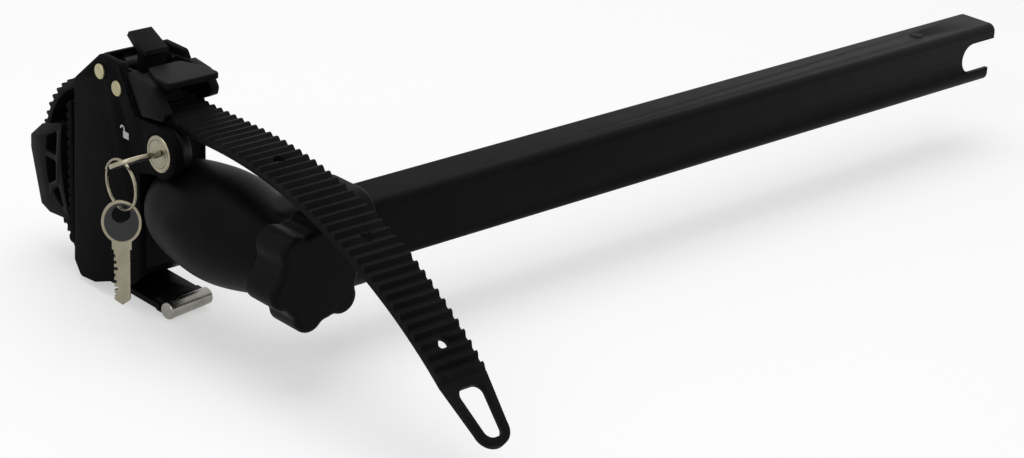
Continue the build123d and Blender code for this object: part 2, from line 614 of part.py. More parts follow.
with BuildPart() as jaw_pad:
    with BuildSketch(across(0)):
        with BuildLine():
            Polyline((CORE_BACK_Y + 0.1, PAD_LOW), (PAD_RIB_Y, PAD_LOW), (PAD_RIB_Y, PAD_HIGH),
                     (CORE_BACK_Y + 0.1, PAD_HIGH + 2), close=True)
        make_face()
    extrude(amount=PLATE_GAP / 2 - CORE_CLEAR, both=True)
    with BuildSketch(across(0)):
        with Locations(((PAD_STRIP_Y + PAD_RIB_Y) / 2, (PAD_LOW + PAD_HIGH) / 2)):
            Rectangle(PAD_RIB_Y - PAD_STRIP_Y, PAD_HIGH - PAD_LOW)
        ribs = int((PAD_HIGH - PAD_LOW) / PAD_RIB_PITCH)
        for rib in range(ribs):
            with Locations((PAD_RIB_Y, PAD_LOW + PAD_RIB_PITCH * (rib + 0.5))):
                Circle(PAD_RIB_RADIUS)
    extrude(amount=PLATE_GAP / 2 + PLATE_THICK - CORE_CLEAR, both=True)
    # stem that plugs into the bolt's well
    with BuildSketch(facing(CORE_BACK_Y + 0.2)):
        Circle(BOLT_HEAD_RADIUS)
    extrude(amount=6.0)
finish(jaw_pad, "jaw_pad")

with BuildPart() as top_cover:
    with BuildSketch(across(0)):
        with BuildLine():
            Polyline((99.5, 61.2), (101.0, 61.2), (119.0, 46.6), (117.4, 45.8), (102.2, 58.9), (99.5, 59.4), close=True)
        make_face()
    extrude(amount=CORE_HALF, both=True)
finish(top_cover, "top_cover")

# ======================= ratchet =======================


def cross_pin(spot):
    """Headed pin through both side plates."""
    outer = PLATE_GAP / 2 + PLATE_THICK
    with BuildPart() as pin:
        with BuildSketch(across(-outer)):
            with Locations(spot):
                Circle(PIN_RADIUS)
        extrude(amount=2 * outer)
        for side in (-1, 1):
            with BuildSketch(across(side * outer)):
                with Locations(spot):
                    Circle(PIN_HEAD_RADIUS)
            extrude(amount=side * PIN_HEAD_THICK)
            rim = pin.faces().sort_by(Axis.X)[0 if side < 0 else -1]
            fillet(rim.edges(), 0.7)
    return pin


lever_pin = cross_pin(LEVER_PIN)
finish(lever_pin, "lever_pin")
pawl_pin = cross_pin(PAWL_PIN)
finish(pawl_pin, "pawl_pin")

ARM_INNER = STRAP_WIDTH / 2 + LEVER_GAP
LEAF_OUTER = PLATE_GAP / 2 + PLATE_THICK - 0.4
NEAR_LEAF = [(61.5, 57.6), (52.0, 47.5), (53.4, 44.4), (69.4, 42.2)]
FAR_LEAF = [(66.0, 58.0), (60.5, 51.0), (61.5, 47.5), (69.4, 43.5)]
WING_TOP = 60.2
WING_UNDER = 57.6
with BuildPart() as ratchet_lever:
    for side in (-1, 1):
        # thin arm inside the side plate, from the pin to the leaf
        with BuildSketch(across(side * ARM_INNER)):
            with Locations(LEVER_PIN):
                Circle(PIN_RADIUS + HUB_WALL + 0.2)
            with BuildLine():
                Polyline((99.3, 57.6), (80.0, 59.0), (70.0, 57.0), (70.0, 53.4), (99.3, 53.4), close=True)
            make_face()
            with Locations(LEVER_PIN):
                Circle(PIN_RADIUS + RUNNING_FIT, mode=Mode.SUBTRACT)
        extrude(amount=side * LEVER_ARM_THICK)
        # leaf outside the slanted edge of the plate
        with BuildSketch(across(side * ARM_INNER)) as leaf:
            with BuildLine():
                Polyline((81.4, 59.7), *(NEAR_LEAF if side < 0 else FAR_LEAF), close=True)
            make_face()
            fillet(leaf.vertices(), 1.6)
        extrude(amount=side * (LEAF_OUTER - ARM_INNER))
    # web and thumb wing
    with BuildSketch(across(0)):
        with BuildLine():
            Polyline((76.0, WING_UNDER + 0.6), (62.5, WING_UNDER), (62.5, 54.8), (76.0, 54.8), close=True)
        make_face()
    extrude(amount=ARM_INNER + 0.5, both=True)
    with BuildSketch(Plane.XY.offset(WING_UNDER)) as wing:
        with BuildLine():
            Polyline((HEAD_X - 8.5, 77.0), (HEAD_X + 8.5, 77.0), (HEAD_X + 13.5, 64.0), (HEAD_X + 13.5, 54.5),
                     (HEAD_X - 13.5, 54.5), (HEAD_X - 13.5, 64.0), close=True)
        make_face()
        fillet(wing.vertices(), 2.5)
    extrude(amount=WING_TOP - WING_UNDER)
    fillet(ratchet_lever.faces().sort_by(Axis.Z)[-1].edges(), 0.8)
finish(ratchet_lever, "ratchet_lever")

PAWL_HUB = PIN_RADIUS + HUB_WALL
RELEASE_HUB = PIN_RADIUS + 0.75        # slim, so that the driving pawl's tip passes it
PAWL_HALF = 6.0
TIP_Z = STRAP_TOP_Z + STRAP_BASE + 0.4
DRIVE_TIP_Z = STRAP_TOP_Z + STRAP_BASE + TOOTH_HEIGHT + 0.3     # stands just clear between strokes
with BuildPart() as drive_pawl:
    with BuildSketch(across(0)):
        with Locations(LEVER_PIN):
            Circle(PAWL_HUB)
        with BuildLine():
            Polyline((LEVER_PIN[0] - 3.6, LEVER_PIN[1] + 1.5), (DRIVE_TIP_Y + 0.1, DRIVE_TIP_Z),
                     (DRIVE_TIP_Y + 1.0, DRIVE_TIP_Z), (LEVER_PIN[0] + 2.5, LEVER_PIN[1] - 3.0), close=True)
        make_face()
        with Locations(LEVER_PIN):
            Circle(PIN_RADIUS + RUNNING_FIT, mode=Mode.SUBTRACT)
    extrude(amount=PAWL_HALF, both=True)
finish(drive_pawl, "drive_pawl")

with BuildPart() as release_lever:
    with BuildSketch(across(0)):
        with Locations(PAWL_PIN):
            Circle(RELEASE_HUB)
        with BuildLine():
            Polyline((PAWL_PIN[0] - 2.3, PAWL_PIN[1] + 2.3), (HOLD_TIP_Y, TIP_Z), (HOLD_TIP_Y + 0.5, TIP_Z),
                     (HOLD_TIP_Y + 2.7, TIP_Z + 1.9), (PAWL_PIN[0] + 0.4, PAWL_PIN[1] - RELEASE_HUB + 0.1), close=True)
        make_face()
        with BuildLine():
            Polyline((PAWL_PIN[0] - 2.9, PAWL_PIN[1] + 1.0), (84.2, 62.0), (82.0, 63.2), (82.6, 65.2), (95.0, 70.9),
                     (96.4, 68.6), (88.6, 63.0), (PAWL_PIN[0] + 2.9, PAWL_PIN[1] + 1.0), close=True)
        make_face()
        with Locations(PAWL_PIN):
            Circle(PIN_RADIUS + RUNNING_FIT, mode=Mode.SUBTRACT)
    extrude(amount=PAWL_HALF, both=True)
finish(release_lever, "release_lever")


def torsion_spring(spot, leg):
    """Small coil round a pin, beside the pawl, with one straight leg."""
    wire, turns, coil = 0.4, 3, PIN_RADIUS + 0.9
    start = HEAD_X + PAWL_HALF + 1.2
    with BuildPart() as spring:
        with BuildLine() as line:
            Helix(1.1, 1.1 * turns, coil, center=(start, *spot), direction=(1, 0, 0))
        with BuildSketch(Plane(origin=line.line @ 0, z_dir=line.line % 0)):
            Circle(wire)
        sweep(is_frenet=True)
        tip = line.line @ 1
        way = Vector(0, *leg).normalized()
        with BuildSketch(Plane(origin=tip, z_dir=way)):
            Circle(wire)
        extrude(amount=6.0)
    return spring


finish(torsion_spring(LEVER_PIN, (-0.9, 0.25)), "drive_pawl_spring")
finish(torsion_spring(PAWL_PIN, (-0.2, 1.0)), "release_spring_coil")

# ======================= lock =======================
BARREL_BACK = HEAD_X - 8.0
with BuildPart() as lock_barrel:
    with BuildSketch(Plane.YZ.offset(LOCK_FACE)):
        with Locations((LOCK_Y, LOCK_Z)):
            Circle(BARREL_RADIUS)
    extrude(amount=BARREL_BACK - LOCK_FACE)
    chamfer(lock_barrel.faces().sort_by(Axis.X)[0].edges(), 0.5)
    with BuildSketch(Plane.YZ.offset(LOCK_FACE)):
        with Locations((LOCK_Y, LOCK_Z)):
            Circle(PLUG_LOCK_RADIUS + RUNNING_FIT)
    extrude(amount=BARREL_BACK - LOCK_FACE, mode=Mode.SUBTRACT)
finish(lock_barrel, "lock_barrel")

with BuildPart() as lock_clip:
    with BuildSketch(across(-PLATE_GAP / 2 + 0.1)):
        with Locations((LOCK_Y, LOCK_Z)):
            Circle(BARREL_RADIUS + 1.9)
            Circle(BARREL_RADIUS, mode=Mode.SUBTRACT)
    extrude(amount=1.6)
finish(lock_clip, "lock_clip")

slope = radians(KEY_TURN)
KEY_FRAME = Plane(
    origin=(LOCK_FACE, LOCK_Y, LOCK_Z), x_dir=(1, 0, 0), z_dir=(0, -sin(slope), -cos(slope))
)
KEYWAY_FRAME = Plane(origin=(LOCK_FACE, LOCK_Y, LOCK_Z), x_dir=(0, -cos(slope), sin(slope)), z_dir=(1, 0, 0))
KEY_CLEAR = 0.2
WAFER_COUNT = 3
WAFER_THICK = 1.0
WAFER_SIZE = (2 * PLUG_LOCK_RADIUS - 2.8, 2 * PLUG_LOCK_RADIUS - 6.8)
WAFERS = [3.0 + 2.8 * i for i in range(WAFER_COUNT)]
PLUG_LENGTH = BARREL_BACK - LOCK_FACE + 0.3

with BuildPart() as lock_plug:
    with BuildSketch(KEYWAY_FRAME):
        Circle(PLUG_LOCK_RADIUS)
        Rectangle(KEY_BLADE + 2 * KEY_CLEAR, KEY_THICK + 2 * KEY_CLEAR, mode=Mode.SUBTRACT)
    extrude(amount=PLUG_LENGTH)
    for depth in WAFERS:
        with BuildSketch(KEYWAY_FRAME.offset(depth)):
            Rectangle(WAFER_SIZE[0] + 0.1, WAFER_SIZE[1] + 0.1)
        extrude(amount=WAFER_THICK + 0.1, mode=Mode.SUBTRACT)
finish(lock_plug, "lock_plug")

with BuildPart() as lock_wafers:
    for depth in WAFERS:
        with BuildSketch(KEYWAY_FRAME.offset(depth + 0.05)):
            Rectangle(*WAFER_SIZE)
            Rectangle(KEY_BLADE + 2 * KEY_CLEAR, KEY_THICK + 2 * KEY_CLEAR, mode=Mode.SUBTRACT)
        extrude(amount=WAFER_THICK)
finish(lock_wafers, "lock_wafers")

CAM_LENGTH = 8.2
with BuildPart() as lock_cam:
    with BuildSketch(Plane.YZ.offset(BARREL_BACK + 0.3)):
        with Locations((LOCK_Y, LOCK_Z)):
            Circle(4.6)
        with Locations((LOCK_Y + CAM_LENGTH / 2, LOCK_Z)):
            RectangleRounded(CAM_LENGTH, 5.0, 1.2)
    extrude(amount=1.6)
finish(lock_cam, "lock_cam")


def make_key(frame, blade_length, bow_gap):
    """A flat key: the shoulder stands at the frame's origin, the blade runs along its x axis."""
    bow_x = -bow_gap - KEY_BOW[0]
    hole_x = bow_x - KEY_HOLE_OFFSET
    with BuildPart() as key:
        with BuildSketch(frame) as outline:
            with Locations((bow_x, 0)):
                Ellipse(*KEY_BOW)
            with BuildLine():
                Polyline((-bow_gap - 2.0, KEY_BLADE / 2 + 0.8), (-0.8, KEY_BLADE / 2 + 0.8), (-0.8, KEY_BLADE / 2),
                         (blade_length - 2.5, KEY_BLADE / 2), (blade_length, 0.0), (blade_length - 2.5, -KEY_BLADE / 2),
                         (-0.8, -KEY_BLADE / 2), (-0.8, -KEY_BLADE / 2 - 0.8), (-bow_gap - 2.0, -KEY_BLADE / 2 - 0.8),
                         close=True)
            make_face()
            with Locations((hole_x, 0)):
                Circle(KEY_HOLE_RADIUS, mode=Mode.SUBTRACT)
            # cuts along one edge of the blade
            for cut in range(int((blade_length - 4.0) / 3.0)):
                with Locations((2.2 + 3.0 * cut, -KEY_BLADE / 2)):
                    Rectangle(1.5, 1.2 + 0.9 * (cut % 3), mode=Mode.SUBTRACT)
        extrude(amount=KEY_THICK / 2, both=True)
    return key


LOCK_KEY_BLADE = 11.0
LOCK_KEY_GAP = 3.1
finish(make_key(KEY_FRAME, LOCK_KEY_BLADE, LOCK_KEY_GAP), "lock_key")

# the ring hangs through the hole of the key in the lock, round the lower side of its bow
RING_X = LOCK_FACE - LOCK_KEY_GAP - KEY_BOW[0] - KEY_HOLE_OFFSET
RING_Y = LOCK_Y + 2.9
RING_Z = LOCK_Z - KEY_RING_RADIUS + 0.3
with BuildPart() as key_ring:
    with BuildSketch(Plane.XZ.offset(-RING_Y).shift_origin((RING_X, RING_Y, RING_Z))):
        with Locations((0, KEY_RING_RADIUS)):
            Circle(KEY_RING_WIRE)
    revolve(axis=Axis((RING_X, RING_Y, RING_Z), (1, 0, 0)))
finish(key_ring, "key_ring")

SPARE_TURN = 40.0          # about Z, from facing -Y
SPARE_BLADE = 25.0
SPARE_GAP = 3.5
spare_hole_z = RING_Z - KEY_RING_RADIUS + KEY_RING_WIRE + 0.5 - KEY_HOLE_RADIUS
spare_shoulder_z = spare_hole_z - (SPARE_GAP + KEY_BOW[0] + KEY_HOLE_OFFSET)
turn = radians(SPARE_TURN)
SPARE_FRAME = Plane(
    origin=(RING_X, RING_Y, spare_shoulder_z), x_dir=(0, 0, -1), z_dir=(-sin(turn), -cos(turn), 0)
)
finish(make_key(SPARE_FRAME, SPARE_BLADE, SPARE_GAP), "spare_key")

print(f"swivel axis at X {HEAD_X}; lock axis y {LOCK_Y}, z {LOCK_Z}; lock face X {LOCK_FACE}; barrel back {BARREL_BACK}")
print(f"ring centre {RING_X:.2f} {RING_Y:.2f} {RING_Z:.2f}; spare hole z {spare_hole_z:.2f}")
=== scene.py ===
# %% [markdown]
# # A lockable ratchet-strap holder arm
# The construction comes packed: every piece already has its real size and place, in metres, with
# +X along the arm and +Z up. This script dresses that frame. It sets up a camera and a plain white
# studio, mixes the finishes once each, and models the pieces whose look needs softer or finer shapes
# than the construction has.

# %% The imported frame
import json
import math

import bmesh
import bpy
import numpy as np
from mathutils import Matrix, Vector

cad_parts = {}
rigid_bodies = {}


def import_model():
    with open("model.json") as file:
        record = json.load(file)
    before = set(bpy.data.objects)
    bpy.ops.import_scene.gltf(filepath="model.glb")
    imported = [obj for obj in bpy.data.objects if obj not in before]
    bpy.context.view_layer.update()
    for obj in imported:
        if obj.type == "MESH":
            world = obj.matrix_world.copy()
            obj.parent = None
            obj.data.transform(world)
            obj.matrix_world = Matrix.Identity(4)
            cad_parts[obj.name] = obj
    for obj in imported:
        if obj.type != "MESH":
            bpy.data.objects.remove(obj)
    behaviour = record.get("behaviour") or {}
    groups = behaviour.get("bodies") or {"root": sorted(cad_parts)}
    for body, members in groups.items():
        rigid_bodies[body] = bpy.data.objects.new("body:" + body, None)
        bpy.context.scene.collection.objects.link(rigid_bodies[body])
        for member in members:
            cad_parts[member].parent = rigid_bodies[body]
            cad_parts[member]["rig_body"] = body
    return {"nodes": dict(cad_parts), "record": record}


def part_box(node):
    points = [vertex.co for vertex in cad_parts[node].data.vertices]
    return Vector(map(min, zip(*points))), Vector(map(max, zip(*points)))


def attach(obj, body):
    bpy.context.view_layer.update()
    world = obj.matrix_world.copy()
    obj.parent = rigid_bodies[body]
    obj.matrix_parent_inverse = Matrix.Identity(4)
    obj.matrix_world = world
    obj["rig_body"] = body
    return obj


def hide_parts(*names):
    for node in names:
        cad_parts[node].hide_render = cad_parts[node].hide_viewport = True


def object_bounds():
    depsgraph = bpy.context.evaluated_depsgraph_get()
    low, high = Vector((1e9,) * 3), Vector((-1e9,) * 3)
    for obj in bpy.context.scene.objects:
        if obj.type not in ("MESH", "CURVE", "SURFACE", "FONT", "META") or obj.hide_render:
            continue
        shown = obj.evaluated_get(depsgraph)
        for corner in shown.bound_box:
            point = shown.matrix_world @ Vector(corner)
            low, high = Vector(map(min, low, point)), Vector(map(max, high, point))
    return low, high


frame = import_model()
cad_low, cad_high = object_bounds()
MM = 0.001
print("construction box", [round(v, 4) for v in cad_low], [round(v, 4) for v in cad_high])


# %% [markdown]
# ## Camera
# The viewer stands in front of the strap head and looks along the arm, which runs away to the right.
# A long lens keeps the far fork nearly as large as the near head. Heading, elevation and roll are
# turned into the camera's three axes, because three angles are easier to read than a matrix.

# %% Camera
HEADING, ELEVATION, ROLL = math.radians(42.6), math.radians(22.95), math.radians(2.68)
CAMERA_PLACE = Vector((-1.0650, -0.8251, 0.4504))
LENS = 94.36

back = Vector((
    -math.sin(HEADING) * math.cos(ELEVATION), -math.cos(HEADING) * math.cos(ELEVATION), math.sin(ELEVATION)
))
level = Vector((math.cos(HEADING), -math.sin(HEADING), 0.0))
upright = back.cross(level)
right = level * math.cos(ROLL) + upright * math.sin(ROLL)
camera = bpy.data.objects.new("camera", bpy.data.cameras.new("camera"))
camera.data.lens = LENS
camera.data.sensor_width = 36.0
camera.data.clip_start, camera.data.clip_end = 0.05, 20.0
facing = Matrix((right, back.cross(right), back)).transposed().to_4x4()
camera.matrix_world = Matrix.Translation(CAMERA_PLACE) @ facing
bpy.context.scene.collection.objects.link(camera)
bpy.context.scene.camera = camera
print("camera looks along", [round(-v, 3) for v in back])


# %% [markdown]
# ## Studio
# A product like this is shown on white. The floor is a wide sheet just under the lowest point. Its
# own light is added only for rays that come from the camera, from gloss or through glass, so it looks
# white and still takes the soft shadow of the object, and it throws no extra light on the black parts.

# %% Floor, world and lamps
scene = bpy.context.scene
scene.view_settings.view_transform = "Standard"
FLOOR_GAP = 1.5 * MM
FLOOR_SIZE = 12.0


def seen_directly(nodes, links):
    """1 for rays from the camera, from a gloss reflection or through glass, else 0."""
    path = nodes.new("ShaderNodeLightPath")
    either = nodes.new("ShaderNodeMath")
    either.operation = "MAXIMUM"
    links.new(path.outputs["Is Camera Ray"], either.inputs[0])
    links.new(path.outputs["Is Glossy Ray"], either.inputs[1])
    any_of = nodes.new("ShaderNodeMath")
    any_of.operation = "MAXIMUM"
    links.new(either.outputs[0], any_of.inputs[0])
    links.new(path.outputs["Is Transmission Ray"], any_of.inputs[1])
    return any_of.outputs[0]


def studio_floor():
    """A diffuse white sheet with a share of its own light for direct rays."""
    mat = bpy.data.materials.new("studio_white")
    mat.use_nodes = True
    nodes, links = mat.node_tree.nodes, mat.node_tree.links
    nodes.clear()
    out = nodes.new("ShaderNodeOutputMaterial")
    diffuse = nodes.new("ShaderNodeBsdfDiffuse")
    diffuse.inputs["Color"].default_value = (0.62, 0.62, 0.62, 1)
    glow = nodes.new("ShaderNodeEmission")
    glow.inputs["Color"].default_value = (1, 1, 1, 1)
    strength = nodes.new("ShaderNodeMath")
    strength.operation = "MULTIPLY"
    strength.inputs[1].default_value = 0.5
    links.new(seen_directly(nodes, links), strength.inputs[0])
    links.new(strength.outputs[0], glow.inputs["Strength"])
    both = nodes.new("ShaderNodeAddShader")
    links.new(diffuse.outputs[0], both.inputs[0])
    links.new(glow.outputs[0], both.inputs[1])
    links.new(both.outputs[0], out.inputs["Surface"])
    return mat


floor_mesh = bpy.data.meshes.new("floor")
half = FLOOR_SIZE / 2
floor_z = cad_low.z - FLOOR_GAP
floor_corners = [(x * half, y * half, floor_z) for x, y in ((-1, -1), (1, -1), (1, 1), (-1, 1))]
floor_mesh.from_pydata(floor_corners, [], [(0, 1, 2, 3)])
floor = bpy.data.objects.new("floor", floor_mesh)
floor.data.materials.append(studio_floor())
scene.collection.objects.link(floor)

world = bpy.data.worlds.new("studio")
scene.world = world
world.use_nodes = True
sky_nodes, sky_links = world.node_tree.nodes, world.node_tree.links
sky = sky_nodes["Background"]
sky.inputs["Color"].default_value = (1, 1, 1, 1)
SKY_LIGHT = 0.35
lift = sky_nodes.new("ShaderNodeMath")
lift.operation = "MULTIPLY_ADD"
lift.inputs[1].default_value = 1.0 - SKY_LIGHT
lift.inputs[2].default_value = SKY_LIGHT
sky_links.new(seen_directly(sky_nodes, sky_links), lift.inputs[0])
sky_links.new(lift.outputs[0], sky.inputs["Strength"])


def softbox(name, place, aim, size, power):
    """A square area lamp at place that faces aim."""
    data = bpy.data.lights.new(name, "AREA")
    data.shape = "SQUARE"
    data.size = size
    data.energy = power
    lamp = bpy.data.objects.new(name, data)
    lamp.location = place
    lamp.rotation_euler = (Vector(aim) - Vector(place)).to_track_quat("-Z", "Y").to_euler()
    scene.collection.objects.link(lamp)
    return lamp


middle = (cad_low + cad_high) / 2
softbox("overhead", middle + Vector((-0.1, 0.1, 1.6)), middle, 1.4, 13.0)
softbox("front_left", middle + Vector((-1.5, -0.7, 1.0)), middle, 0.8, 3.5)
print("floor at", round(floor_z, 4), "m")


# %% [markdown]
# ## Finishes
# Small effects are shader groups, made once and used with other values in each finish: a fine grain
# for mouldings and powder coat, worn edges, hairline scratches and dust.

# %% Shader groups
def new_group(name, inputs, outputs):
    """An empty shader group; inputs are {name: (socket kind, value)}, outputs {name: socket kind}."""
    tree = bpy.data.node_groups.new(name, "ShaderNodeTree")
    for socket, (kind, value) in inputs.items():
        tree.interface.new_socket(socket, in_out="INPUT", socket_type=kind).default_value = value
    for socket, kind in outputs.items():
        tree.interface.new_socket(socket, in_out="OUTPUT", socket_type=kind)
    return tree, tree.nodes.new("NodeGroupInput"), tree.nodes.new("NodeGroupOutput")


def math_node(tree, operation, a, b, clamp=False):
    """A Math node; a and b are sockets or numbers."""
    node = tree.nodes.new("ShaderNodeMath")
    node.operation = operation
    node.use_clamp = clamp
    for socket, value in zip(node.inputs, (a, b)):
        if isinstance(value, (int, float)):
            socket.default_value = value
        else:
            tree.links.new(value, socket)
    return node.outputs[0]


def remap(tree, value, from_low, from_high, to_low=0.0, to_high=1.0):
    """A clamped Map Range node."""
    node = tree.nodes.new("ShaderNodeMapRange")
    tree.links.new(value, node.inputs["Value"])
    limits = {"From Min": from_low, "From Max": from_high, "To Min": to_low, "To Max": to_high}
    for socket, number in limits.items():
        node.inputs[socket].default_value = number
    return node.outputs["Result"]


def noise(tree, vector, scale, detail=3.0, roughness=0.5):
    """A Noise Texture's value; scale is a socket or a number."""
    node = tree.nodes.new("ShaderNodeTexNoise")
    tree.links.new(vector, node.inputs["Vector"])
    if isinstance(scale, (int, float)):
        node.inputs["Scale"].default_value = scale
    else:
        tree.links.new(scale, node.inputs["Scale"])
    node.inputs["Detail"].default_value = detail
    node.inputs["Roughness"].default_value = roughness
    return node.outputs["Fac"]


def object_place(tree):
    return tree.nodes.new("ShaderNodeTexCoord").outputs["Object"]


def make_grain():
    """Height: fine grain plus slow waves. Mottle: broad soft patches, 0 to 1."""
    tree, into, out = new_group(
        "grain", {"Scale": ("NodeSocketFloat", 2500.0), "Wave": ("NodeSocketFloat", 0.3)},
        {"Height": "NodeSocketFloat", "Mottle": "NodeSocketFloat"},
    )
    place = object_place(tree)
    fine = noise(tree, place, into.outputs["Scale"], 2.0)
    slow = noise(tree, place, math_node(tree, "MULTIPLY", into.outputs["Scale"], 0.12), 2.0)
    mixed = math_node(tree, "ADD", fine, math_node(tree, "MULTIPLY", slow, into.outputs["Wave"]))
    tree.links.new(mixed, out.inputs["Height"])
    tree.links.new(remap(tree, noise(tree, place, 55.0, 4.0, 0.6), 0.32, 0.68), out.inputs["Mottle"])
    return tree


def make_edge_wear():
    """Mask of the outside edges, where a bevelled normal leaves the true one, broken up by noise."""
    tree, into, out = new_group(
        "edge_wear", {"Amount": ("NodeSocketFloat", 0.5)}, {"Mask": "NodeSocketFloat"},
    )
    bevel = tree.nodes.new("ShaderNodeBevel")
    bevel.samples = 4
    bevel.inputs["Radius"].default_value = 0.7 * MM
    true = tree.nodes.new("ShaderNodeNewGeometry")
    turn = tree.nodes.new("ShaderNodeVectorMath")
    turn.operation = "DOT_PRODUCT"
    tree.links.new(bevel.outputs["Normal"], turn.inputs[0])
    tree.links.new(true.outputs["Normal"], turn.inputs[1])
    edge = remap(tree, turn.outputs["Value"], 0.995, 0.86)
    broken = remap(tree, noise(tree, object_place(tree), 420.0, 4.0, 0.7), 0.45, 0.62)
    mask = math_node(tree, "MULTIPLY", math_node(tree, "MULTIPLY", edge, broken), into.outputs["Amount"], True)
    tree.links.new(mask, out.inputs["Mask"])
    return tree


def make_scratches():
    """Hairlines: noise stretched along one direction, thinned to its crests."""
    tree, into, out = new_group(
        "scratches", {"Turn": ("NodeSocketFloat", 0.4), "Density": ("NodeSocketFloat", 0.5)},
        {"Mask": "NodeSocketFloat", "Height": "NodeSocketFloat"},
    )
    lay = tree.nodes.new("ShaderNodeCombineXYZ")
    for axis in "XYZ":
        tree.links.new(into.outputs["Turn"], lay.inputs[axis])
    mapping = tree.nodes.new("ShaderNodeMapping")
    mapping.inputs["Scale"].default_value = (90.0, 2600.0, 260.0)
    tree.links.new(object_place(tree), mapping.inputs["Vector"])
    tree.links.new(lay.outputs[0], mapping.inputs["Rotation"])
    lines = noise(tree, mapping.outputs["Vector"], 1.0, 2.0)
    high = math_node(tree, "SUBTRACT", 0.74, math_node(tree, "MULTIPLY", into.outputs["Density"], 0.16))
    mask = math_node(tree, "MULTIPLY", math_node(tree, "SUBTRACT", lines, high), 14.0, True)
    tree.links.new(mask, out.inputs["Mask"])
    tree.links.new(math_node(tree, "SUBTRACT", 1.0, mask), out.inputs["Height"])
    return tree


def make_dust():
    """Sparse pale specks and a thin film, as on a moulding that has lain on a shelf."""
    tree, into, out = new_group("dust", {"Amount": ("NodeSocketFloat", 0.5)}, {"Mask": "NodeSocketFloat"})
    place = object_place(tree)
    cells = tree.nodes.new("ShaderNodeTexVoronoi")
    cells.inputs["Scale"].default_value = 340.0
    tree.links.new(place, cells.inputs["Vector"])
    specks = remap(tree, cells.outputs["Distance"], 0.10, 0.05)
    where = remap(tree, noise(tree, place, 120.0, 3.0), 0.55, 0.7)
    film = math_node(tree, "MULTIPLY", remap(tree, noise(tree, place, 900.0, 5.0, 0.75), 0.5, 0.8), 0.35)
    mask = math_node(tree, "ADD", math_node(tree, "MULTIPLY", specks, where), film)
    tree.links.new(math_node(tree, "MULTIPLY", mask, into.outputs["Amount"], True), out.inputs["Mask"])
    return tree


GRAIN, EDGE_WEAR, SCRATCHES, DUST = make_grain(), make_edge_wear(), make_scratches(), make_dust()
print("shader groups:", [g.name for g in (GRAIN, EDGE_WEAR, SCRATCHES, DUST)])


# %% [markdown]
# Every finish here is one of two families: a black coat or moulding, which is a dark base with grain,
# worn edges and a little dust, or a bare metal with hairlines. Two builders say what a family has in
# common, and each finish is one call with its own numbers.

# %% Finish builders
def put(tree, group, **values):
    """Places a shader group and sets its inputs."""
    node = tree.nodes.new("ShaderNodeGroup")
    node.node_tree = group
    for socket, value in values.items():
        node.inputs[socket].default_value = value
    return node


def mix_colour(tree, factor, first, second):
    """Colour mix; first and second are sockets or RGB triples."""
    node = tree.nodes.new("ShaderNodeMix")
    node.data_type = "RGBA"
    tree.links.new(factor, node.inputs["Factor"])
    for socket, value in ((node.inputs[6], first), (node.inputs[7], second)):
        if isinstance(value, tuple):
            socket.default_value = (*value, 1.0)
        else:
            tree.links.new(value, socket)
    return node.outputs[2]


def new_finish(name):
    mat = bpy.data.materials.new(name)
    mat.use_nodes = True
    return mat, mat.node_tree, mat.node_tree.nodes["Principled BSDF"]


def bump(tree, shader, height, strength, distance):
    node = tree.nodes.new("ShaderNodeBump")
    node.inputs["Strength"].default_value = strength
    node.inputs["Distance"].default_value = distance
    tree.links.new(height, node.inputs["Height"])
    tree.links.new(node.outputs["Normal"], shader.inputs["Normal"])


def black_finish(name, base, paler, worn, rough, grain_scale, relief, wear=0.4, dust=0.3, gloss=0.2, wave=0.3):
    """A dark coat or moulding: mottled base, worn edges, dust, grain in roughness and relief."""
    mat, tree, shader = new_finish(name)
    grain = put(tree, GRAIN, Scale=grain_scale, Wave=wave)
    edge = put(tree, EDGE_WEAR, Amount=wear)
    film = put(tree, DUST, Amount=dust)
    colour = mix_colour(tree, grain.outputs["Mottle"], base, paler)
    colour = mix_colour(tree, edge.outputs["Mask"], colour, worn)
    colour = mix_colour(tree, film.outputs["Mask"], colour, (0.09, 0.088, 0.082))
    tree.links.new(colour, shader.inputs["Base Color"])
    roughness = remap(tree, grain.outputs["Height"], 0.3, 0.9, rough - 0.06, rough + 0.08)
    tree.links.new(roughness, shader.inputs["Roughness"])
    shader.inputs["Specular IOR Level"].default_value = gloss
    bump(tree, shader, grain.outputs["Height"], 0.5, relief)
    return mat


def metal_finish(name, base, tint, rough, density=0.5, turn=0.4, metallic=1.0):
    """A bare or plated metal: two close tints, hairline scratches and a fine uneven roughness."""
    mat, tree, shader = new_finish(name)
    grain = put(tree, GRAIN, Scale=1500.0, Wave=0.6)
    lines = put(tree, SCRATCHES, Turn=turn, Density=density)
    colour = mix_colour(tree, grain.outputs["Mottle"], base, tint)
    tree.links.new(colour, shader.inputs["Base Color"])
    shader.inputs["Metallic"].default_value = metallic
    uneven = remap(tree, grain.outputs["Height"], 0.3, 0.9, rough - 0.04, rough + 0.07)
    roughness = math_node(tree, "ADD", uneven, math_node(tree, "MULTIPLY", lines.outputs["Mask"], 0.22), True)
    tree.links.new(roughness, shader.inputs["Roughness"])
    bump(tree, shader, lines.outputs["Height"], 0.35, 0.03 * MM)
    return mat


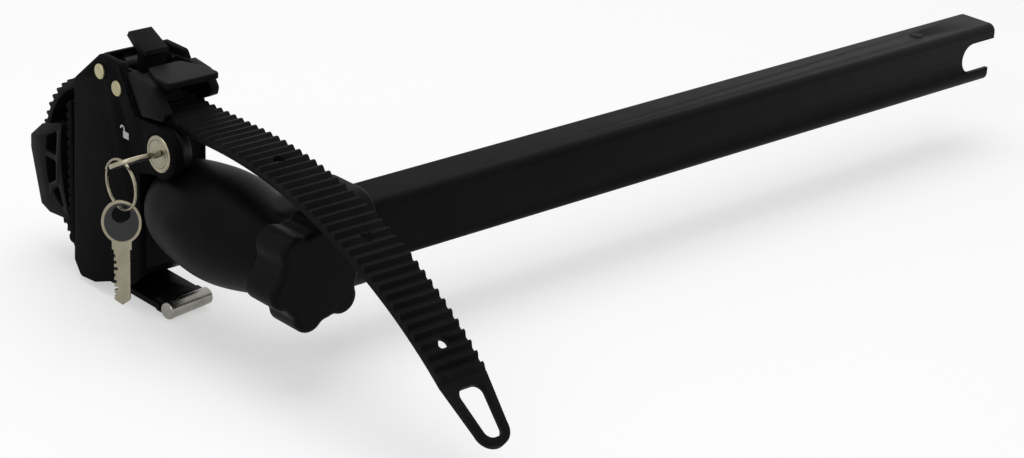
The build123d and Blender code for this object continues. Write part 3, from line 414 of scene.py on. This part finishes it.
# %% The finishes
POWDER = black_finish(
    "powder_coat", (0.0032, 0.0032, 0.0034), (0.0052, 0.0052, 0.0054), (0.020, 0.020, 0.020),
    rough=0.42, grain_scale=1400.0, relief=0.05 * MM, wear=0.5, dust=0.05, gloss=0.05, wave=0.8,
)
NYLON = black_finish(
    "moulded_nylon", (0.0028, 0.0028, 0.0030), (0.0050, 0.0050, 0.0053), (0.014, 0.014, 0.014),
    rough=0.46, grain_scale=3200.0, relief=0.03 * MM, wear=0.4, dust=0.06, gloss=0.05,
)
PLATE_BLACK = black_finish(
    "plate_black", (0.0034, 0.0034, 0.0036), (0.0052, 0.0052, 0.0054), (0.018, 0.018, 0.018),
    rough=0.55, grain_scale=2400.0, relief=0.04 * MM, wear=0.6, dust=0.06, gloss=0.015,
)
STRAP_BLACK = black_finish(
    "strap_nylon", (0.0026, 0.0026, 0.0028), (0.0070, 0.0070, 0.0074), (0.012, 0.012, 0.012),
    rough=0.45, grain_scale=1800.0, relief=0.05 * MM, wear=0.5, dust=0.18, gloss=0.04, wave=0.9,
)
RUBBER = black_finish(
    "pad_rubber", (0.0028, 0.0028, 0.0028), (0.0055, 0.0055, 0.0055), (0.009, 0.009, 0.009),
    rough=0.72, grain_scale=4200.0, relief=0.04 * MM, wear=0.2, dust=0.20, gloss=0.02,
)
ZINC_YELLOW = metal_finish("zinc_yellow", (0.46, 0.43, 0.27), (0.36, 0.33, 0.20), rough=0.42, density=0.3)
BRIGHT_STEEL = metal_finish(
    "bright_steel", (0.32, 0.31, 0.28), (0.20, 0.19, 0.17), rough=0.24, density=0.5, turn=0.0
)
NICKEL = metal_finish("nickel_plate", (0.34, 0.31, 0.23), (0.24, 0.22, 0.16), rough=0.24, density=0.55)
BRASS = metal_finish("brass", (0.72, 0.55, 0.26), (0.60, 0.45, 0.20), rough=0.34, density=0.4)
SPRING_WIRE = metal_finish("spring_wire", (0.40, 0.40, 0.41), (0.30, 0.30, 0.31), rough=0.33, density=0.4)
SLOT_FINISH = {
    "black_steel": POWDER, "black_nylon": NYLON, "black_strap": STRAP_BLACK, "black_rubber": RUBBER,
    "zinc_yellow": ZINC_YELLOW, "bright_steel": BRIGHT_STEEL, "nickel": NICKEL, "brass": BRASS,
    "spring_steel": SPRING_WIRE,
}


# Near-black steel for the parts that sit in the dark of the head: painted shade.
PAINTED_SHADE_STEEL = metal_finish("painted_shade_steel", (0.030, 0.030, 0.032), (0.045, 0.045, 0.047), rough=0.45, density=0.3)
INK = black_finish(
    "white_print", (0.62, 0.62, 0.62), (0.70, 0.70, 0.69), (0.45, 0.45, 0.45),
    rough=0.55, grain_scale=2600.0, relief=0.01 * MM, wear=0.1, dust=0.1, gloss=0.3,
)


def nickel_with_painted_dark(name, centre, turn, size, inside):
    """Nickel plate with a painted dark patch, black and not metallic, in an ellipsoid of that size about
    centre, or outside it if inside is False: painted dark reflection on the key bows, painted shade on the
    barrel.
    """
    mat, tree, shader = new_finish(name)
    grain = put(tree, GRAIN, Scale=1500.0, Wave=0.6)
    lines = put(tree, SCRATCHES, Turn=0.7, Density=0.55)
    mapping = tree.nodes.new("ShaderNodeMapping")
    mapping.vector_type = "TEXTURE"
    mapping.inputs["Location"].default_value = centre
    mapping.inputs["Rotation"].default_value = turn
    mapping.inputs["Scale"].default_value = size
    tree.links.new(object_place(tree), mapping.inputs["Vector"])
    reach = tree.nodes.new("ShaderNodeVectorMath")
    reach.operation = "LENGTH"
    tree.links.new(mapping.outputs["Vector"], reach.inputs[0])
    edge = (1.04, 0.98) if inside else (0.98, 1.04)
    # The mask of the painted dark patch: painted dark reflection on the keys, painted shade on the barrel.
    dark = remap(tree, reach.outputs["Value"], *edge)
    plate = mix_colour(tree, grain.outputs["Mottle"], (0.34, 0.31, 0.23), (0.24, 0.22, 0.16))
    tree.links.new(mix_colour(tree, dark, plate, (0.004, 0.004, 0.004)), shader.inputs["Base Color"])
    tree.links.new(remap(tree, dark, 0.0, 1.0, 1.0, 0.0), shader.inputs["Metallic"])
    uneven = remap(tree, grain.outputs["Height"], 0.3, 0.9, 0.20, 0.31)
    roughness = math_node(tree, "ADD", uneven, math_node(tree, "MULTIPLY", dark, 0.25), True)
    tree.links.new(roughness, shader.inputs["Roughness"])
    bump(tree, shader, lines.outputs["Height"], 0.35, 0.03 * MM)
    return mat


# %% [markdown]
# Each construction node wears the finish of its material slot. A few wear another one: the plates are a
# little paler than the mouldings, and steel that sits in the dark of the head is painted near black, which is
# painted shade.

# %% Finishes on the construction
NODE_SLOT = {row["node"]: row["material_slot"] for row in frame["record"]["subparts"]}
OWN_FINISH = {
    "near_side_plate": PLATE_BLACK, "far_side_plate": PLATE_BLACK,
    # The steel parts inside the head get near-black steel, which is painted shade.
    "drive_pawl": PAINTED_SHADE_STEEL, "lock_cam": PAINTED_SHADE_STEEL, "lock_clip": PAINTED_SHADE_STEEL,
    "drive_pawl_spring": PAINTED_SHADE_STEEL, "release_spring_coil": PAINTED_SHADE_STEEL,
}


def finish_for(node):
    return OWN_FINISH.get(node, SLOT_FINISH[NODE_SLOT[node]])


for node_name, node_object in frame["nodes"].items():
    for material_slot in node_object.material_slots:
        material_slot.material = finish_for(node_name)
print("finishes on", len(frame["nodes"]), "nodes")


# %% [markdown]
# ## Softened pieces
# Mouldings, castings and pressed parts have no sharp edges. The pieces below start from the
# construction's own shape, so their size and place are exact. Doubled corners are merged and flats are
# made whole again, and then one of two things softens them: rounded edges of a stated width, or a fine
# even skin that is relaxed, for the two big mouldings with flowing forms.

# %% Softening
MERGE_REACH = 0.004 * MM
FLAT_ANGLE = math.radians(0.8)         # faces that turn less than this are one flat
CORNER_ANGLE = math.radians(32)        # edges that turn more than this are rounded


def start_from(node, name, finish):
    """A new piece with the shape of a construction node, merged and smooth, which stands for that node."""
    shape = bmesh.new()
    shape.from_mesh(frame["nodes"][node].data)
    bmesh.ops.remove_doubles(shape, verts=shape.verts, dist=MERGE_REACH)
    bmesh.ops.dissolve_limit(shape, angle_limit=FLAT_ANGLE, verts=shape.verts, edges=shape.edges)
    for face in shape.faces:
        face.smooth = True
    mesh = bpy.data.meshes.new(name)
    shape.to_mesh(mesh)
    shape.free()
    mesh.materials.append(finish)
    piece = bpy.data.objects.new(name, mesh)
    scene.collection.objects.link(piece)
    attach(piece, frame["nodes"][node]["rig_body"])
    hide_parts(node)
    return piece


def rounded(node, name, width, segments=2, finish=None):
    """Edges turned over by width, with the flats kept flat."""
    piece = start_from(node, name, finish or finish_for(node))
    edge = piece.modifiers.new("rounded_edges", "BEVEL")
    edge.width = width
    edge.segments = segments
    edge.limit_method = "ANGLE"
    edge.angle_limit = CORNER_ANGLE
    edge.harden_normals = True
    return piece


def relaxed(node, name, cell, rounds):
    """An even skin of square cells over the shape, relaxed so that inside and outside corners flow."""
    piece = start_from(node, name, finish_for(node))
    skin = piece.modifiers.new("even_skin", "REMESH")
    skin.mode = "VOXEL"
    skin.voxel_size = cell
    skin.use_smooth_shade = True
    relax = piece.modifiers.new("relaxed", "SMOOTH")
    relax.factor = 0.5
    relax.iterations = rounds
    return piece


relaxed("swivel_housing", "housing_moulding", 0.75 * MM, 9)
relaxed("hand_knob", "knob_moulding", 0.45 * MM, 10)
EDGES = {
    "near_side_plate": ("near_plate_moulding", 0.55), "far_side_plate": ("far_plate_moulding", 0.55),
    "ratchet_lever": ("lever_moulding", 0.45), "release_lever": ("release_moulding", 0.40),
    "pressure_shoe": ("shoe_moulding", 0.40), "head_core": ("core_moulding", 0.40),
    "top_cover": ("cover_moulding", 0.25),
    "arm_tube": ("arm_box", 0.25), "jaw_pad": ("ribbed_pad", 0.25), "toothed_strap": ("strap_band", 0.22),
    "anchor_pin": ("strap_pin", 0.15), "tube_plug": ("hole_plug", 0.20),
    "lever_pin": ("lever_rivet", 0.10), "pawl_pin": ("pawl_rivet", 0.10),
}
for node_name, (piece_name, edge_width) in EDGES.items():
    rounded(node_name, piece_name, edge_width * MM)


# %% [markdown]
# ## Lock, keys and ring
# The lock's face, the key edges and the blades are bright nickel. The flat faces of the key bows, inside a
# bright rim, are painted black as a painted dark reflection, and the barrel's sides behind its bright front
# are painted black as painted shade. The ring is a split ring: one wire wound twice.

# %% Lock and keys
KEY_TURN, SPARE_TURN = math.radians(30.0), math.radians(40.0)
lock_low, lock_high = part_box("lock_barrel")
lock_middle = (lock_low + lock_high) / 2
LOCK_FACE = lock_low.x
BOW_HALF = (10.0 * MM, 8.6 * MM)
BOW_RIM = 1.3 * MM
# Only this front depth of the barrel stays nickel; the barrel behind it is painted black, which is painted
# shade.
BARREL_BARE_FRONT = 1.2 * MM        # depth of its bright front
key_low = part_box("lock_key")[0]
spare_low, spare_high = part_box("spare_key")
key_bow = Vector((key_low.x + BOW_HALF[0], lock_middle.y, lock_middle.z))
spare_middle = (spare_low + spare_high) / 2
spare_bow = Vector((spare_middle.x, spare_middle.y, spare_high.z - BOW_HALF[0]))
inner_bow = (BOW_HALF[0] - BOW_RIM, BOW_HALF[1] - BOW_RIM)
FLAT = 20 * MM                 # reach across the key's thickness, beyond both faces
# The flat faces of both key bows are painted black inside their rims: a painted dark reflection.
NICKEL_KEY_PAINTED_REFLECTION = nickel_with_painted_dark("nickel_key_painted_reflection", key_bow, (-KEY_TURN, 0, 0), (*inner_bow, FLAT), True)
NICKEL_SPARE_KEY_PAINTED_REFLECTION = nickel_with_painted_dark(
    "nickel_spare_key_painted_reflection", spare_bow, (0, 0, -SPARE_TURN), (inner_bow[1], FLAT, inner_bow[0]), True
)
# The barrel's sides behind its front are painted black: painted shade.
NICKEL_BARREL_PAINTED_SHADE = nickel_with_painted_dark(
    "nickel_barrel_painted_shade", Vector((LOCK_FACE, lock_middle.y, lock_middle.z)), (0, 0, 0),
    (BARREL_BARE_FRONT, FLAT, FLAT), False
)
rounded("lock_key", "key_in_lock", 0.22 * MM, finish=NICKEL_KEY_PAINTED_REFLECTION)
rounded("spare_key", "key_on_ring", 0.22 * MM, finish=NICKEL_SPARE_KEY_PAINTED_REFLECTION)
rounded("lock_barrel", "lock_body", 0.30 * MM, finish=NICKEL_BARREL_PAINTED_SHADE)
rounded("lock_plug", "lock_core", 0.15 * MM)


def new_piece(name, places, faces, finish, body, smooth=True):
    """A mesh from an (n, 3) array of places in metres and a list of faces; it rides on body."""
    mesh = bpy.data.meshes.new(name)
    mesh.from_pydata([tuple(p) for p in places], [], faces)
    mesh.polygons.foreach_set("use_smooth", [smooth] * len(mesh.polygons))
    mesh.materials.append(finish)
    mesh.update()
    piece = bpy.data.objects.new(name, mesh)
    scene.collection.objects.link(piece)
    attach(piece, body)
    return piece


def grid_faces(rows, columns):
    """Quads over rows x columns of places, wrapping round the columns."""
    faces = []
    for i in range(rows - 1):
        for j in range(columns):
            k = (j + 1) % columns
            faces.append((i * columns + j, i * columns + k, (i + 1) * columns + k, (i + 1) * columns + j))
    return faces


RING_START = 0.35              # radians, where the wire begins
RING_SHARE = 0.97              # of two full turns
WIRE_FIT = 0.98                # leaves the two turns just apart


def split_ring():
    """Centre line: c + R (0, cos a, sin a), a from a0 over two turns, and moving along X from -w to w.
    The tube round it has radius w, and its two ends are closed."""
    low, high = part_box("key_ring")
    centre = (np.array(low) + np.array(high)) / 2
    wire = (high.x - low.x) / 4
    radius = (high.y - low.y) / 2 - 2 * wire
    steps, around = 160, 12
    a = np.linspace(RING_START, RING_START + 4 * np.pi * RING_SHARE, steps)
    side = np.clip((a - a[0]) / (a[-1] - a[0]) * 2 - 1, -1, 1) * wire
    out = np.stack([np.zeros(steps), np.cos(a), np.sin(a)], 1)
    line = centre + radius * out + side[:, None] * np.array([1, 0, 0])
    b = np.linspace(0, 2 * np.pi, around, endpoint=False)
    outwards = np.cos(b)[None, :, None] * out[:, None, :]
    rim = (outwards + np.sin(b)[None, :, None] * np.array([1, 0, 0])) * wire * WIRE_FIT
    places = (line[:, None, :] + rim).reshape(-1, 3)
    first_end = tuple(range(around))
    last_end = tuple(range(steps * around - 1, (steps - 1) * around - 1, -1))
    faces = grid_faces(steps, around) + [first_end, last_end]
    ring = new_piece("split_ring", places, faces, NICKEL, "ring")
    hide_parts("key_ring")


split_ring()


# %% [markdown]
# ## Lock sign
# A small printed sign on the near plate, beside the lock: a plain open padlock. It is a thin skin of
# ink, so that it reads as print and not as a part.

# %% Lock sign
LOCK_PROUD = 2.6 * MM
PLATE_FACE = LOCK_FACE + LOCK_PROUD     # the plate's outer face, behind the lock's face
SIGN_MIDDLE = (lock_middle.y + 27.5 * MM, lock_middle.z - 0.6 * MM)
SIGN_BODY = (2.1 * MM, 1.6 * MM)       # half width and half height
SHACKLE = (1.35 * MM, 0.42 * MM)       # radius of its middle line and half its width
SIGN_LIFT = 0.05 * MM
ARC_POINTS = 13


def lock_sign():
    """Body: a box. Shackle: half a ring, p = r (cos a, sin a) for a from 0 to pi, on one short leg."""
    width, height = SIGN_BODY
    radius, half = SHACKLE
    a = np.linspace(0, np.pi, ARC_POINTS)
    arc = np.stack([np.cos(a), np.sin(a)], 1)
    foot = np.array([-width - radius + 2 * half, height + radius * 0.5])
    box = np.array([(-width, -height), (width, -height), (width, height), (-width, height)])
    leg = np.array([(foot[0] + radius + half, height), (foot[0] + radius - half, height)])
    flat = np.concatenate([box, leg, foot + (radius + half) * arc, foot + (radius - half) * arc])
    first, second = 6, 6 + ARC_POINTS
    faces = [(0, 1, 2, 3), (4, first, second, 5)]
    faces += [(first + j, first + j + 1, second + j + 1, second + j) for j in range(ARC_POINTS - 1)]
    places = [(PLATE_FACE - SIGN_LIFT, SIGN_MIDDLE[0] - y, SIGN_MIDDLE[1] + z) for y, z in flat]
    new_piece("lock_sign", places, faces, INK, "head", smooth=False)


lock_sign()
